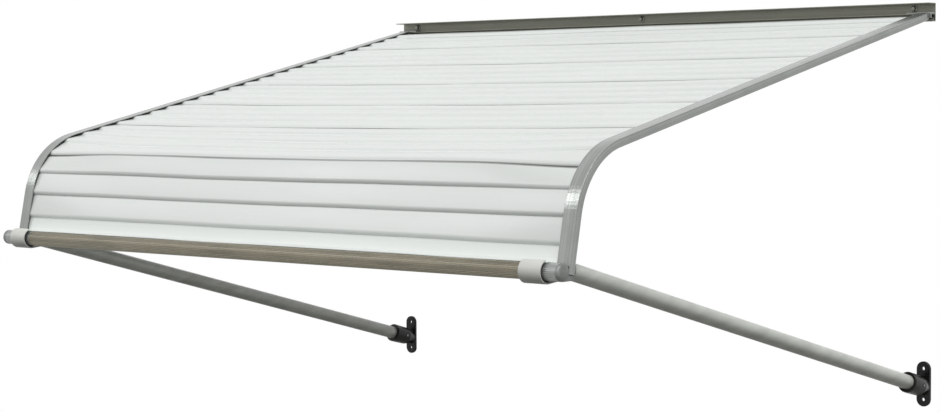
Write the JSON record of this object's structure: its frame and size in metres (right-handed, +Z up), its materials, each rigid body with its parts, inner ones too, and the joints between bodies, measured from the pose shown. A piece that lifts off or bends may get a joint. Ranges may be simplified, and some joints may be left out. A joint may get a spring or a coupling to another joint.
{
  "type": "aluminum door canopy",
  "caption": "Fixed slatted canopy over a door: bent side rails carry stepped white slats down to a fluted front bar, braced by tube arms on wall brackets.",
  "frame": {"origin": "on the wall, at the middle of the header's back face and at the level of its bottom shelf", "axes": "+X runs along the wall to the right as seen by someone facing the wall, +Y points into the wall, +Z is up; the canopy reaches out along -Y"},
  "size_m": [1.2748, 1.0511, 0.7084],
  "materials": {
    "mill_aluminium": "mill finish with lengthwise draw lines",
    "bronze_aluminium": "dark olive-brown anodised",
    "white_enamel": "baked white enamel on thin aluminium sheet",
    "white_vinyl": "off-white moulded vinyl",
    "black_casting": "semi-gloss black coat on a casting",
    "grey_casting": "tumbled grey casting",
    "zinc_screw": "zinc plated",
    "black_rubber": "matte black rubber"
  },
  "bodies": {
    "root": {"bar_cap_left": "grey_casting", "bar_cap_right": "grey_casting", "bar_clamp_left": "white_vinyl", "bar_clamp_right": "white_vinyl", "clamp_liner_left": "black_rubber", "clamp_liner_right": "black_rubber", "clip_rivet_left": "zinc_screw", "clip_rivet_right": "zinc_screw", "corner_casting_left": "grey_casting", "corner_casting_right": "grey_casting", "front_bar": "bronze_aluminium", "header_screw_left": "zinc_screw", "header_screw_middle": "zinc_screw", "header_screw_right": "zinc_screw", "rail_clip_left": "mill_aluminium", "rail_clip_right": "mill_aluminium", "set_screw_left": "zinc_screw", "set_screw_right": "zinc_screw", "side_rail_left": "mill_aluminium", "side_rail_right": "mill_aluminium", "slat_panel_1": "white_enamel", "slat_panel_2": "white_enamel", "slat_panel_3": "white_enamel", "slat_panel_4": "white_enamel", "slat_panel_5": "white_enamel", "slat_panel_6": "white_enamel", "slat_panel_7": "white_enamel", "support_arm_left": "mill_aluminium", "support_arm_right": "mill_aluminium", "wall_bracket_left": "black_casting", "wall_bracket_right": "black_casting", "wall_header": "bronze_aluminium"}
  },
  "joints": []
}
